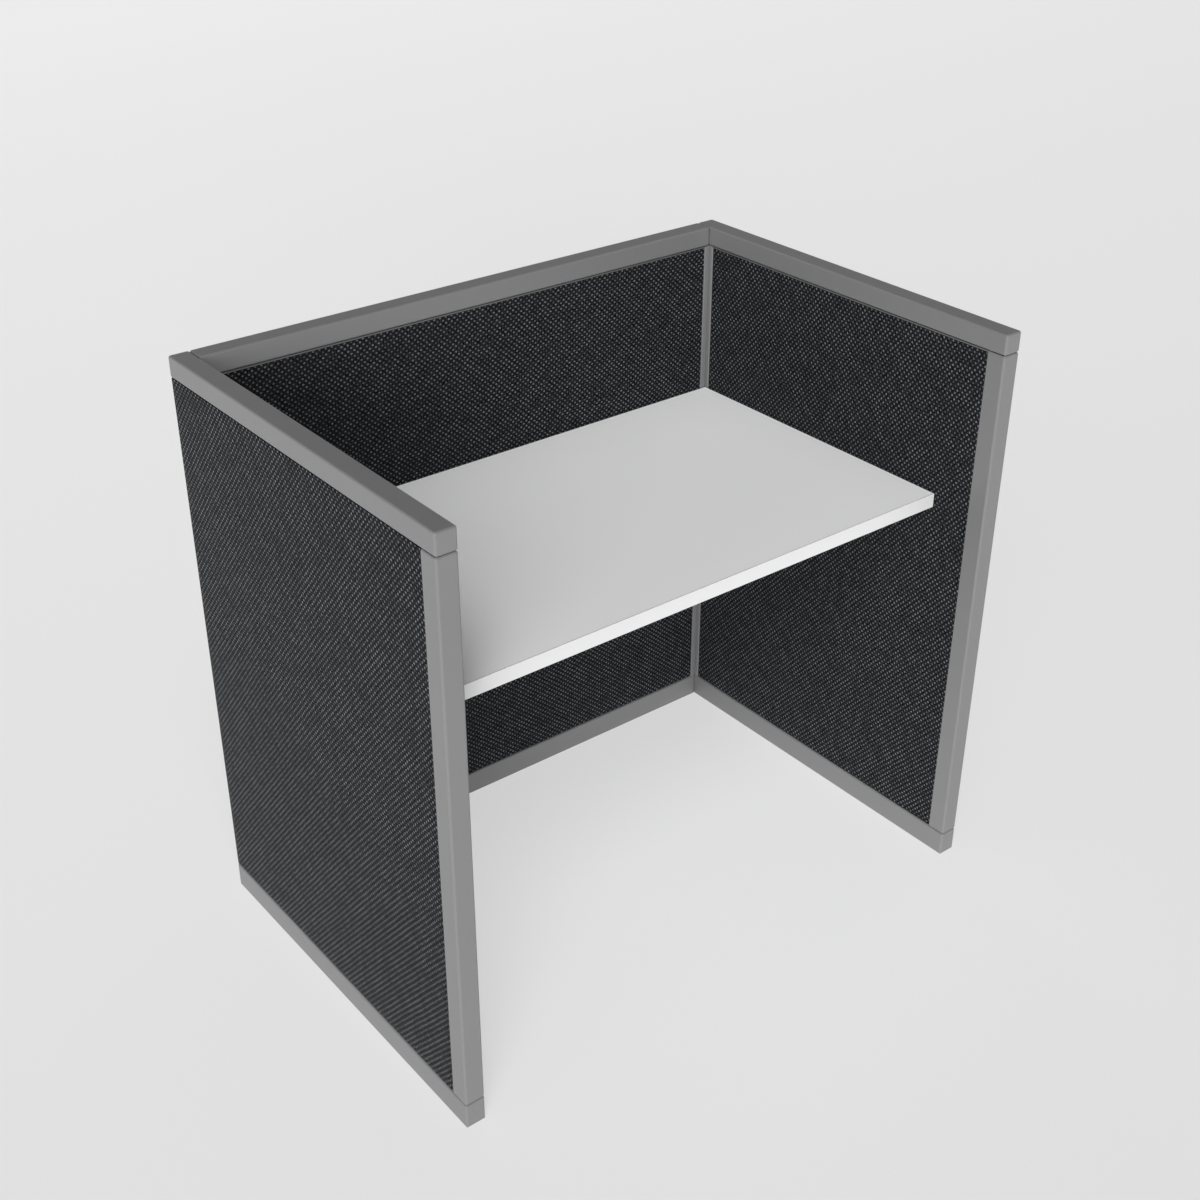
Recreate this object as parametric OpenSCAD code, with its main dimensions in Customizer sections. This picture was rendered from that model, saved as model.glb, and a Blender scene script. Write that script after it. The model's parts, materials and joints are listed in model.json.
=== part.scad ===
// Cubicle workstation: two fabric side panels and a fabric back panel in grey trim,
// with a white worktop held between them on steel angles.
// Millimetres, X to the right, Y to the back, Z up.
// The origin is on the floor, below the middle of the overall box.

/* [Overall] */
// Overall width over the outer faces of the side panels
overall_w = 1144; // [1000:1:1800]
// Overall depth of the side panels, front to back
overall_d = 762; // [720:1:900]
// Overall height, from the floor to the top of the caps
overall_h = 1067; // [1000:1:1600]

/* [Grey trim] */
// Thickness of each panel over its trims
panel_t = 36; // [35:0.5:45]
// Height of the top caps
cap_h = 36.8; // [30:0.1:46]
// Height of the base rails
base_h = 48.5; // [48:0.5:90]
// Depth of the end posts' side flanges
post_d = 35; // [25:1:48]
// Width of a corner trim's flange on the back panel
corner_back_w = 11.3; // [8:0.1:30]
// Width of a corner trim's flange on the side panel
corner_side_w = 8.6; // [8:0.1:30]
// Wall of the caps, posts and corner trims
trim_wall = 2; // [1.6:0.1:2.5]
// Wall of the base rails
rail_wall = 3.4; // [3.1:0.1:3.6]
// Radius of the trims' long outer edges
trim_r = 3.5; // [1.5:0.1:4.5]
// Radius of the trims' edges at a joint
joint_r = 3; // [0.5:0.1:3.5]
// Radius of the base rails' edges on the floor
floor_r = 3; // [0.5:0.1:3]
// Radius of the corner trims' edges
corner_r = 1.8; // [0.5:0.1:1.9]
// Open gap at a joint between two trims
joint_gap = 0.4; // [0.2:0.1:1]
// Height of the strips between the caps and the inner tiles
strip_h = 2; // [1:0.1:4]

/* [Fabric tiles] */
// Thickness of the fabric
fabric_t = 1.2; // [0.6:0.1:2]
// Thickness of the tackable board under the fabric
board_t = 6; // [4:0.5:7]
// How far the fabric lies below the faces of the trims
fabric_recess = 1; // [0.4:0.1:1.5]
// Gap between a tile's edge and the trim beside it
reveal = 0.6; // [0.4:0.1:2]

/* [Steel frame] */
// Wide side of the frame's flat tube
tube_w = 50; // [50:1:60]
// Wall of the frame's flat tube
tube_wall = 1.5; // [1:0.1:2.5]

/* [Worktop] */
// Height of the worktop's top face
worktop_z = 738; // [650:1:780]
// Thickness of the whole worktop
worktop_t = 26; // [18:0.5:40]
// Depth of the worktop, front to back
worktop_d = 611; // [590:1:650]
// Gap between the worktop and a side panel's inner face
side_gap = 1.5; // [0.5:0.1:5]
// Gap between the worktop and the back panel's inner face
rear_gap = 2.7; // [0.5:0.1:6]
// Thickness of the top laminate and of the backer
laminate_t = 0.8; // [0.5:0.1:1.5]
// Thickness of the front edge band
front_band_t = 2; // [0.6:0.1:3]
// Thickness of the side and rear edge bands
side_band_t = 1; // [0.6:0.1:3]

/* [Worktop angles] */
// Leg width of the steel angles under the worktop
angle_w = 40; // [36:1:48]
// Thickness of the steel angles
angle_t = 3; // [2:0.5:4]
// Gap between a side angle and the rear angle
side_angle_gap = 15; // [10:1:200]
// Length of the rear angle
rear_angle_l = 600; // [300:1:800]
// Distance from the worktop's front edge to a side angle
angle_setback = 60; // [40:1:70]

/* [Levelling feet] */
// Travel of a levelling foot
foot_travel = 20; // [5:1:30]
// Thread diameter of a levelling foot
foot_stem_d = 8; // [6:1:10]
// Diameter of a levelling foot's pad
pad_d = 26; // [22:1:27]
// Height of a levelling foot's pad
pad_h = 9.5; // [9:0.5:11]

/* [Hidden] */
$fn = 48;

// Colours as the photograph shows them
trim_colour = [0.55, 0.55, 0.55];
fabric_colour = [0.17, 0.17, 0.18];
board_colour = [0.62, 0.52, 0.38];
core_colour = [0.72, 0.6, 0.42];
steel_colour = [0.35, 0.36, 0.38];
white_colour = [0.93, 0.93, 0.93];
zinc_colour = [0.75, 0.75, 0.78];
black_colour = [0.1, 0.1, 0.1];

// How far a cut runs past the solid that it cuts
overrun = 1;
// Radial clearance of a thread or a swivel in its bore
fit_clear = 0.05;
// Clearance of a turning piece along its axis
end_clear = 0.2;
// Radial clearance of a screw in a plain hole
hole_clear = 0.25;

// Panels: X along the panel, Y through it with the room at -Y
half_w = overall_w / 2;
half_d = overall_d / 2;
inner_x = half_w - panel_t;
inner_y = half_d - panel_t;
side_mid_x = half_w - panel_t / 2;
back_mid_y = half_d - panel_t / 2;
face_y = panel_t / 2;
fabric_y = face_y - fabric_recess;
tile_t = fabric_t + board_t;
frame_t = panel_t - 2 * (fabric_recess + tile_t);
frame_y = frame_t / 2;
cap_z = overall_h - cap_h;
frame_top = overall_h - trim_wall;
frame_h = frame_top - base_h;
tile_z = base_h + reveal;
post_top = cap_z - joint_gap;
strip_z = post_top - strip_h;
inner_tile_top = strip_z - reveal;
outer_tile_top = cap_z - reveal;

// Where the stiles stand along the side panels and the back panel
side_front_x = -half_d + trim_wall;
side_rear_x = half_d - trim_wall;
side_feet_x = [side_front_x + tube_w / 2, side_rear_x - tube_w / 2];
back_feet_x = [-inner_x + tube_w / 2, inner_x - tube_w / 2];

// Worktop
worktop_under = worktop_z - worktop_t;
worktop_x = inner_x - side_gap;
worktop_rear = inner_y - rear_gap;
worktop_front = worktop_rear - worktop_d;
core_x = worktop_x - side_band_t;
core_front = worktop_front + front_band_t;
core_rear = worktop_rear - side_band_t;

// Angles and their screws
angle_front = worktop_front + angle_setback;
side_angle_l = inner_y + fabric_recess - angle_w - side_angle_gap - angle_front;
angle_screw_shares = [0.08, 0.5, 0.92];
worktop_screw_shares = [0.2, 0.8];
angle_screw_z_share = 0.55;
worktop_screw_y_share = 0.6;
angle_screw_z = worktop_under - angle_w * angle_screw_z_share;
worktop_screw_y = fabric_y + angle_w * worktop_screw_y_share;
mid_rail_z = angle_screw_z - tube_w / 2;
panel_screw_d = 6;
panel_screw_grip = 5;
panel_screw_head_d = 11;
wood_screw_d = 5;
wood_screw_grip = 13;
wood_screw_head_d = 9.5;
screw_head_h = 3.5;
// A screw's hexagon socket as shares of its head
socket_d_share = 0.5;
socket_depth_share = 0.6;

// Bolts that hold the back panel's stiles to the side panels' rear stiles
corner_bolt_shares = [0.12, 0.5, 0.88];
corner_bolt_d = 8;
corner_bolt_head_d = 13;
corner_bolt_head_h = 8;
corner_bolt_end = 3;
corner_nut_d = 15;
corner_nut_h = 6.5;
corner_access_d = 16;
corner_bolt_zs = [for (share = corner_bolt_shares) base_h + frame_h * share];

// Screws between the base rails and the frames' bottom rails
rail_screw_share = 0.4;
rail_screw_l = 14;

// Levelling feet
nut_plate_l = 40;
nut_plate_t = 4;
nut_d = 15;
nut_h = 6.5;
nut_plate_w = panel_t - 2 * rail_wall - 2 * end_clear;
nut_plate_z = base_h - rail_wall - nut_plate_t;
nut_z = nut_plate_z - nut_h;
pad_lift = 0.5;
pad_floor = 2;
pad_rim = 5;
pad_neck_d = 17;
flange_d = 12;
collar_h = 6;
flange_z = pad_lift + pad_floor + end_clear;
flange_top = pad_lift + pad_rim - end_clear;
collar_top = nut_z - end_clear;
stem_spare = 2;
stem_top = base_h + foot_travel + stem_spare;

// Places children in the frame of a panel
module on_back() {
    translate([0, back_mid_y, 0]) children();
}

module on_left() {
    translate([-side_mid_x, 0, 0]) rotate([0, 0, 90]) children();
}

module on_right() {
    mirror([1, 0, 0]) on_left() children();
}

// A box from its low corner to its high corner
module box(low, high) {
    translate(low) cube(high - low);
}

// A rectangle w wide on the X axis and h high, with round upper and lower corners
module round_rect(w, h, r_low, r_high) {
    translate([-w / 2, r_low]) square([w, h - r_low - r_high]);
    translate([-w / 2 + r_low, 0]) square([w - 2 * r_low, h / 2]);
    translate([-w / 2 + r_high, h / 2]) square([w - 2 * r_high, h / 2]);
    for (side = [-1, 1]) {
        translate([side * (w / 2 - r_low), r_low]) circle(r = r_low);
        translate([side * (w / 2 - r_high), h - r_high]) circle(r = r_high);
    }
}

// A trim's outer block from x0 to x1 and z0 to z1, rounded on the edges along
// the panel, across it and upright
module trim_block(x0, x1, z0, z1, r_low, r_top, r_end, r_upright) {
    mid = (x0 + x1) / 2;
    l = x1 - x0;
    intersection() {
        translate([mid - l / 2, 0, z0]) rotate([90, 0, 90])
            linear_extrude(l) round_rect(panel_t, z1 - z0, r_low, r_top);
        translate([mid, face_y, z0]) rotate([90, 0, 0])
            linear_extrude(panel_t) round_rect(l, z1 - z0, r_low, r_end);
        translate([mid, -face_y, z0])
            linear_extrude(z1 - z0) round_rect(l, panel_t, r_upright, r_upright);
    }
}

// Top cap: an upturned channel with lips that grip the frame's top rail
module top_cap(x0, x1, end_wall, r_end) {
    past = end_wall > 0 ? -end_wall : overrun;
    color(trim_colour) difference() {
        trim_block(x0, x1, cap_z, overall_h, joint_r, trim_r, r_end, r_end);
        box([x0 - past, trim_wall - face_y, cap_z + trim_wall],
            [x1 + past, face_y - trim_wall, frame_top]);
        box([x0 - past, -frame_y, cap_z - overrun], [x1 + past, frame_y, frame_top]);
    }
}

// Base rail: a channel open to the floor, bored for the feet and the screws
module base_rail(x0, x1, end_wall, r_end, feet_x, screws_x) {
    past = end_wall > 0 ? -end_wall : overrun;
    color(trim_colour) difference() {
        trim_block(x0, x1, 0, base_h, floor_r, joint_r, joint_r, r_end);
        box([x0 - past, rail_wall - face_y, -overrun],
            [x1 + past, face_y - rail_wall, base_h - rail_wall]);
        for (x = feet_x) {
            translate([x, 0, base_h - rail_wall - overrun])
                cylinder(h = rail_wall + 2 * overrun, d = foot_stem_d + 2 * hole_clear);
        }
        for (x = screws_x) {
            translate([x, 0, base_h - rail_wall - overrun])
                cylinder(h = rail_wall + 2 * overrun, d = panel_screw_d + 2 * hole_clear);
        }
    }
}

// End post: a channel over the front stile, with ribs that grip the stile
module end_post() {
    x0 = -half_d;
    h = post_top - base_h;
    color(trim_colour) difference() {
        intersection() {
            trim_block(x0, x0 + 2 * post_d, base_h, base_h + h, joint_r, joint_r, joint_r, trim_r);
            box([x0, -face_y, base_h], [x0 + post_d, face_y, base_h + h]);
        }
        box([x0 + trim_wall, -frame_y, base_h - overrun], [x0 + post_d + overrun, frame_y, cap_z]);
        for (side = [-1, 1]) {
            mirror([0, side > 0 ? 0 : 1, 0])
                box([x0 + 2 * trim_wall, frame_y - overrun, base_h - overrun],
                    [x0 + post_d - trim_wall, face_y - trim_wall, cap_z]);
        }
    }
}

// Corner trim: an angle over the inner corner, with ribs that meet both frames
module corner_trim() {
    h = post_top - base_h;
    rib_y = face_y - frame_y;
    side_x = inner_y - corner_side_w;
    color(trim_colour) difference() {
        translate([0, 0, base_h]) linear_extrude(h) {
            // Flange on the side panel, rounded at its free edge
            translate([side_x + corner_r, -face_y])
                square([side_rear_x - side_x - corner_r, trim_wall]);
            translate([side_x, corner_r - face_y]) square([trim_wall, rib_y - corner_r]);
            translate([side_x + corner_r, corner_r - face_y]) circle(r = corner_r);
            translate([inner_y, -face_y]) square([trim_wall, rib_y]);
            translate([side_rear_x - trim_wall, -face_y]) square([trim_wall, rib_y]);
            // Flange on the back panel, rounded at its free edge and at the corner
            translate([inner_y, corner_r - face_y - corner_back_w])
                square([trim_wall, corner_back_w - 2 * corner_r]);
            translate([inner_y + corner_r, -face_y - corner_back_w])
                square([rib_y - corner_r, trim_wall]);
            translate([inner_y + corner_r, -face_y - 2 * corner_r])
                square([rib_y - corner_r, 3 * corner_r]);
            translate([inner_y + corner_r, corner_r - face_y - corner_back_w]) circle(r = corner_r);
            translate([inner_y + corner_r, -face_y - corner_r]) circle(r = corner_r);
        }
        for (z = corner_bolt_zs) {
            translate([back_mid_y, overrun - face_y + trim_wall, z]) rotate([90, 0, 0])
                cylinder(h = trim_wall + 2 * overrun, d = corner_bolt_d + 2 * hole_clear);
        }
    }
}

// Flat strip that closes a side panel's rear end beside the outer tile
module rear_strip() {
    color(trim_colour)
        box([side_rear_x, -face_y, base_h], [half_d, frame_y, post_top]);
}

// Strip under a cap's lip on the room side, above a tile
module tile_strip(x0, x1) {
    box([x0, -face_y, strip_z], [x1, -frame_y, post_top]);
}

// Flat steel tube, upright, from x0 along the panel
module stile(x0) {
    difference() {
        box([x0, -frame_y, base_h], [x0 + tube_w, frame_y, frame_top]);
        box([x0 + tube_wall, tube_wall - frame_y, base_h - overrun],
            [x0 + tube_w - tube_wall, frame_y - tube_wall, frame_top + overrun]);
    }
}

// Flat steel tube, level, at height z between two stiles
module rail(x0, x1, z) {
    difference() {
        box([x0, -frame_y, z], [x1, frame_y, z + tube_w]);
        box([x0 - overrun, tube_wall - frame_y, z + tube_wall],
            [x1 + overrun, frame_y - tube_wall, z + tube_w - tube_wall]);
    }
}

module side_stiles() {
    color(steel_colour) {
        stile(side_front_x);
        difference() {
            stile(side_rear_x - tube_w);
            for (z = corner_bolt_zs) {
                translate([back_mid_y, 0, z]) rotate([90, 0, 0])
                    cylinder(h = frame_t, d = corner_bolt_d + 2 * hole_clear);
                translate([back_mid_y, frame_t, z]) rotate([90, 0, 0])
                    cylinder(h = frame_t, d = corner_access_d);
            }
        }
    }
}

module back_stiles() {
    color(steel_colour) for (side = [-1, 1]) {
        difference() {
            stile(side > 0 ? inner_x - tube_w : -inner_x);
            for (z = corner_bolt_zs) {
                translate([side * inner_x, 0, z]) rotate([0, 90, 0])
                    cylinder(h = tube_w, d = corner_bolt_d + 2 * hole_clear, center = true);
            }
        }
    }
}

// Top, middle and bottom rails between the stiles, bored for the screws
module frame_rails(x0, x1, angle_screws_x, base_screws_x) {
    color(steel_colour) {
        rail(x0, x1, frame_top - tube_w);
        difference() {
            rail(x0, x1, mid_rail_z);
            for (x = angle_screws_x) {
                translate([x, 0, angle_screw_z]) rotate([90, 0, 0])
                    cylinder(h = frame_t, d = panel_screw_d + 2 * fit_clear);
            }
        }
        difference() {
            rail(x0, x1, base_h);
            for (x = base_screws_x) {
                translate([x, 0, base_h - overrun])
                    cylinder(h = tube_w / 2, d = panel_screw_d + 2 * fit_clear);
            }
        }
    }
}

// Core blocks that fill a frame above and below its middle rail
module core(x0, x1) {
    color(core_colour) {
        box([x0, -frame_y, base_h + tube_w], [x1, frame_y, mid_rail_z]);
        box([x0, -frame_y, mid_rail_z + tube_w], [x1, frame_y, frame_top - tube_w]);
    }
}

// Cuts the holes of the angle's screws through a tile
module angle_screw_holes(screws_x) {
    for (x = screws_x) {
        translate([x, -frame_y + overrun, angle_screw_z]) rotate([90, 0, 0])
            cylinder(h = tile_t + 2 * overrun, d = panel_screw_d + 2 * hole_clear);
    }
}

// Tackable board on the room side, from x0 to x1 and up to top over its fabric
module board(x0, x1, top, screws_x) {
    color(board_colour) difference() {
        box([x0 + fabric_t, fabric_t - fabric_y, tile_z + fabric_t],
            [x1 - fabric_t, -frame_y, top - fabric_t]);
        angle_screw_holes(screws_x);
    }
}

// Fabric stretched over a board's face and round its edges
module fabric(x0, x1, top, screws_x) {
    color(fabric_colour) difference() {
        box([x0, -fabric_y, tile_z], [x1, -frame_y, top]);
        box([x0 + fabric_t, fabric_t - fabric_y, tile_z + fabric_t],
            [x1 - fabric_t, overrun - frame_y, top - fabric_t]);
        angle_screw_holes(screws_x);
    }
}

module outward() {
    mirror([0, 1, 0]) children();
}

// Steel angle under the worktop, its upright leg against a panel's fabric
module angle(x0, l) {
    color(steel_colour) difference() {
        union() {
            box([x0, -fabric_y - angle_t, worktop_under - angle_w],
                [x0 + l, -fabric_y, worktop_under]);
            box([x0, -fabric_y - angle_w, worktop_under - angle_t],
                [x0 + l, -fabric_y, worktop_under]);
        }
        for (share = angle_screw_shares) {
            translate([x0 + l * share, overrun - fabric_y, angle_screw_z]) rotate([90, 0, 0])
                cylinder(h = angle_t + 2 * overrun, d = panel_screw_d + 2 * hole_clear);
        }
        for (share = worktop_screw_shares) {
            translate([x0 + l * share, -worktop_screw_y, worktop_under - angle_t - overrun])
                cylinder(h = angle_t + 2 * overrun, d = wood_screw_d + 2 * hole_clear);
        }
    }
}

// Screw along +Z from the seat of its head at zero
module screw(d, l, head_d) {
    cylinder(h = l, d = d);
    difference() {
        translate([0, 0, -screw_head_h]) cylinder(h = screw_head_h, d = head_d);
        translate([0, 0, -screw_head_h - overrun])
            cylinder(h = overrun + screw_head_h * socket_depth_share,
                d = head_d * socket_d_share, $fn = 6);
    }
}

module panel_screws(x0, l) {
    for (share = angle_screw_shares) {
        translate([x0 + l * share, -fabric_y - angle_t, angle_screw_z]) rotate([-90, 0, 0])
            screw(panel_screw_d, angle_t + tile_t + tube_wall + panel_screw_grip, panel_screw_head_d);
    }
}

module wood_screws(x0, l) {
    for (share = worktop_screw_shares) {
        translate([x0 + l * share, -worktop_screw_y, worktop_under - angle_t])
            screw(wood_screw_d, angle_t + wood_screw_grip, wood_screw_head_d);
    }
}

// Cuts the pilot holes of the wood screws above the worktop's underside
module wood_screw_holes(x0, l) {
    for (share = worktop_screw_shares) {
        translate([x0 + l * share, -worktop_screw_y, worktop_under - overrun])
            cylinder(h = overrun + wood_screw_grip + end_clear, d = wood_screw_d + 2 * fit_clear);
    }
}

module all_wood_screw_holes() {
    on_left() wood_screw_holes(angle_front, side_angle_l);
    on_right() wood_screw_holes(angle_front, side_angle_l);
    on_back() wood_screw_holes(-rear_angle_l / 2, rear_angle_l);
}

// Bolts from inside the side panel's rear stile into the back panel's stile
module corner_bolt_set() {
    l = frame_y - tube_wall;
    reach = face_y + tube_wall + corner_nut_h + corner_bolt_end - l;
    for (z = corner_bolt_zs) {
        translate([back_mid_y, -l, z]) rotate([90, 0, 0]) {
            cylinder(h = reach, d = corner_bolt_d);
            difference() {
                translate([0, 0, -corner_bolt_head_h])
                    cylinder(h = corner_bolt_head_h, d = corner_bolt_head_d);
                translate([0, 0, -corner_bolt_head_h - overrun])
                    cylinder(h = overrun + corner_bolt_head_h * socket_depth_share,
                        d = corner_bolt_head_d * socket_d_share, $fn = 6);
            }
        }
    }
}

module corner_nut_set() {
    for (z = corner_bolt_zs) {
        translate([back_mid_y, -face_y - tube_wall, z]) rotate([90, 0, 0]) difference() {
            cylinder(h = corner_nut_h, d = corner_nut_d, $fn = 6);
            translate([0, 0, -overrun])
                cylinder(h = corner_nut_h + 2 * overrun, d = corner_bolt_d + 2 * fit_clear);
        }
    }
}

module rail_screw_set(screws_x) {
    for (x = screws_x) {
        translate([x, 0, base_h - rail_wall]) screw(panel_screw_d, rail_screw_l, panel_screw_head_d);
    }
}

// Threaded plate below a base rail's web
module foot_nut_plate() {
    difference() {
        union() {
            translate([-nut_plate_l / 2, -nut_plate_w / 2, nut_plate_z])
                cube([nut_plate_l, nut_plate_w, nut_plate_t]);
            translate([0, 0, nut_z]) cylinder(h = nut_h, d = nut_d, $fn = 6);
        }
        translate([0, 0, nut_z - overrun])
            cylinder(h = nut_h + nut_plate_t + 2 * overrun, d = foot_stem_d + 2 * fit_clear);
    }
}

// Pad of a levelling foot: a disc with a socket that holds the stem's flange
module foot_pad() {
    r_in = flange_d / 2 + fit_clear;
    r_neck = foot_stem_d / 2 + fit_clear;
    color(black_colour) rotate_extrude() polygon([
        [0, pad_lift], [pad_d / 2, pad_lift], [pad_d / 2, pad_lift + pad_rim],
        [pad_neck_d / 2, pad_lift + pad_rim], [pad_neck_d / 2, pad_lift + pad_h],
        [r_neck, pad_lift + pad_h], [r_neck, pad_lift + pad_rim],
        [r_in, pad_lift + pad_rim], [r_in, pad_lift + pad_floor], [0, pad_lift + pad_floor]
    ]);
}

// Stem of a levelling foot: a flange, the thread and a collar for a spanner
module foot_stem() {
    color(zinc_colour) {
        translate([0, 0, flange_z]) cylinder(h = flange_top - flange_z, d = flange_d);
        translate([0, 0, flange_z]) cylinder(h = stem_top - flange_z, d = foot_stem_d);
        translate([0, 0, collar_top - collar_h]) cylinder(h = collar_h, d = nut_d, $fn = 6);
    }
}

// Screw places along each panel
side_angle_screws_x = [for (share = angle_screw_shares) angle_front + side_angle_l * share];
rear_angle_screws_x = [for (share = angle_screw_shares) rear_angle_l * (share - 1 / 2)];
side_base_screws_x = [-half_d * rail_screw_share, half_d * rail_screw_share];
back_base_screws_x = [-inner_x * rail_screw_share, inner_x * rail_screw_share];

// Parts of a side panel, drawn for the left and mirrored for the right
module side_top_cap() {
    top_cap(-half_d, half_d, trim_wall, trim_r);
}

module side_base_rail() {
    base_rail(-half_d, half_d, rail_wall, trim_r, side_feet_x, side_base_screws_x);
}

module side_frame_rails() {
    frame_rails(side_front_x + tube_w, side_rear_x - tube_w,
        side_angle_screws_x, side_base_screws_x);
}

module side_core() {
    core(side_front_x + tube_w, side_rear_x - tube_w);
}

tile_front_x = -half_d + post_d + reveal;
tile_inner_rear_x = inner_y - corner_side_w - reveal;
tile_outer_rear_x = half_d - reveal;
back_tile_inner_x = inner_x - corner_back_w - reveal;
back_tile_outer_x = inner_x - reveal;

module left_top_cap() { on_left() side_top_cap(); }
module right_top_cap() { on_right() side_top_cap(); }
module back_top_cap() { on_back() top_cap(-inner_x, inner_x, 0, joint_r); }
module left_base_rail() { on_left() side_base_rail(); }
module right_base_rail() { on_right() side_base_rail(); }
module back_base_rail() {
    on_back() base_rail(-inner_x, inner_x, 0, joint_r, back_feet_x, back_base_screws_x);
}
module left_end_post() { on_left() end_post(); }
module right_end_post() { on_right() end_post(); }
module left_corner_trim() { on_left() corner_trim(); }
module right_corner_trim() { on_right() corner_trim(); }
module left_rear_strip() { on_left() rear_strip(); }
module right_rear_strip() { on_right() rear_strip(); }
module left_frame_stiles() { on_left() side_stiles(); }
module right_frame_stiles() { on_right() side_stiles(); }
module back_frame_stiles() { on_back() back_stiles(); }
module left_frame_rails() { on_left() side_frame_rails(); }
module right_frame_rails() { on_right() side_frame_rails(); }
module back_frame_rails() {
    on_back() frame_rails(-inner_x + tube_w, inner_x - tube_w,
        rear_angle_screws_x, back_base_screws_x);
}
module left_core() { on_left() side_core(); }
module right_core() { on_right() side_core(); }
module back_core() { on_back() core(-inner_x + tube_w, inner_x - tube_w); }

module side_strip() {
    tile_strip(-half_d + post_d, inner_y - corner_side_w);
}

module tile_strips() {
    color(trim_colour) {
        on_left() side_strip();
        on_right() side_strip();
        on_back() tile_strip(corner_back_w - inner_x, inner_x - corner_back_w);
    }
}

module side_inner_board() {
    board(tile_front_x, tile_inner_rear_x, inner_tile_top, side_angle_screws_x);
}

module side_outer_board() {
    outward() board(tile_front_x, tile_outer_rear_x, outer_tile_top, []);
}

module side_inner_fabric() {
    fabric(tile_front_x, tile_inner_rear_x, inner_tile_top, side_angle_screws_x);
}

module side_outer_fabric() {
    outward() fabric(tile_front_x, tile_outer_rear_x, outer_tile_top, []);
}

module left_inner_board() { on_left() side_inner_board(); }
module left_outer_board() { on_left() side_outer_board(); }
module right_inner_board() { on_right() side_inner_board(); }
module right_outer_board() { on_right() side_outer_board(); }
module back_inner_board() {
    on_back() board(-back_tile_inner_x, back_tile_inner_x, inner_tile_top, rear_angle_screws_x);
}
module back_outer_board() {
    on_back() outward() board(-back_tile_outer_x, back_tile_outer_x, outer_tile_top, []);
}
module left_inner_fabric() { on_left() side_inner_fabric(); }
module left_outer_fabric() { on_left() side_outer_fabric(); }
module right_inner_fabric() { on_right() side_inner_fabric(); }
module right_outer_fabric() { on_right() side_outer_fabric(); }
module back_inner_fabric() {
    on_back() fabric(-back_tile_inner_x, back_tile_inner_x, inner_tile_top, rear_angle_screws_x);
}
module back_outer_fabric() {
    on_back() outward() fabric(-back_tile_outer_x, back_tile_outer_x, outer_tile_top, []);
}

module worktop_core() {
    color(board_colour) difference() {
        box([-core_x, core_front, worktop_under + laminate_t],
            [core_x, core_rear, worktop_z - laminate_t]);
        all_wood_screw_holes();
    }
}

module worktop_laminate() {
    color(white_colour)
        box([-core_x, core_front, worktop_z - laminate_t], [core_x, core_rear, worktop_z]);
}

module worktop_backer() {
    color(white_colour) difference() {
        box([-core_x, core_front, worktop_under], [core_x, core_rear, worktop_under + laminate_t]);
        all_wood_screw_holes();
    }
}

module worktop_edge_bands() {
    color(white_colour) {
        box([-worktop_x, worktop_front, worktop_under], [worktop_x, core_front, worktop_z]);
        box([-worktop_x, core_rear, worktop_under], [worktop_x, worktop_rear, worktop_z]);
        box([-worktop_x, core_front, worktop_under], [-core_x, core_rear, worktop_z]);
        box([core_x, core_front, worktop_under], [worktop_x, core_rear, worktop_z]);
    }
}

module left_worktop_angle() { on_left() angle(angle_front, side_angle_l); }
module right_worktop_angle() { on_right() angle(angle_front, side_angle_l); }
module rear_worktop_angle() { on_back() angle(-rear_angle_l / 2, rear_angle_l); }

module angle_panel_screws() {
    color(zinc_colour) {
        on_left() panel_screws(angle_front, side_angle_l);
        on_right() panel_screws(angle_front, side_angle_l);
        on_back() panel_screws(-rear_angle_l / 2, rear_angle_l);
    }
}

module worktop_screws() {
    color(zinc_colour) {
        on_left() wood_screws(angle_front, side_angle_l);
        on_right() wood_screws(angle_front, side_angle_l);
        on_back() wood_screws(-rear_angle_l / 2, rear_angle_l);
    }
}

module corner_bolts() {
    color(zinc_colour) {
        on_left() corner_bolt_set();
        on_right() corner_bolt_set();
    }
}

module corner_nuts() {
    color(zinc_colour) {
        on_left() corner_nut_set();
        on_right() corner_nut_set();
    }
}

module base_rail_screws() {
    color(zinc_colour) {
        on_left() rail_screw_set(side_base_screws_x);
        on_right() rail_screw_set(side_base_screws_x);
        on_back() rail_screw_set(back_base_screws_x);
    }
}

module foot_nut_plates() {
    color(steel_colour) {
        for (x = side_feet_x) {
            on_left() translate([x, 0, 0]) foot_nut_plate();
            on_right() translate([x, 0, 0]) foot_nut_plate();
        }
        for (x = back_feet_x) {
            on_back() translate([x, 0, 0]) foot_nut_plate();
        }
    }
}

module left_front_foot_pad() { on_left() translate([side_feet_x[0], 0, 0]) foot_pad(); }
module left_rear_foot_pad() { on_left() translate([side_feet_x[1], 0, 0]) foot_pad(); }
module right_front_foot_pad() { on_right() translate([side_feet_x[0], 0, 0]) foot_pad(); }
module right_rear_foot_pad() { on_right() translate([side_feet_x[1], 0, 0]) foot_pad(); }
module back_left_foot_pad() { on_back() translate([back_feet_x[0], 0, 0]) foot_pad(); }
module back_right_foot_pad() { on_back() translate([back_feet_x[1], 0, 0]) foot_pad(); }
module left_front_foot_stem() { on_left() translate([side_feet_x[0], 0, 0]) foot_stem(); }
module left_rear_foot_stem() { on_left() translate([side_feet_x[1], 0, 0]) foot_stem(); }
module right_front_foot_stem() { on_right() translate([side_feet_x[0], 0, 0]) foot_stem(); }
module right_rear_foot_stem() { on_right() translate([side_feet_x[1], 0, 0]) foot_stem(); }
module back_left_foot_stem() { on_back() translate([back_feet_x[0], 0, 0]) foot_stem(); }
module back_right_foot_stem() { on_back() translate([back_feet_x[1], 0, 0]) foot_stem(); }

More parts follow.
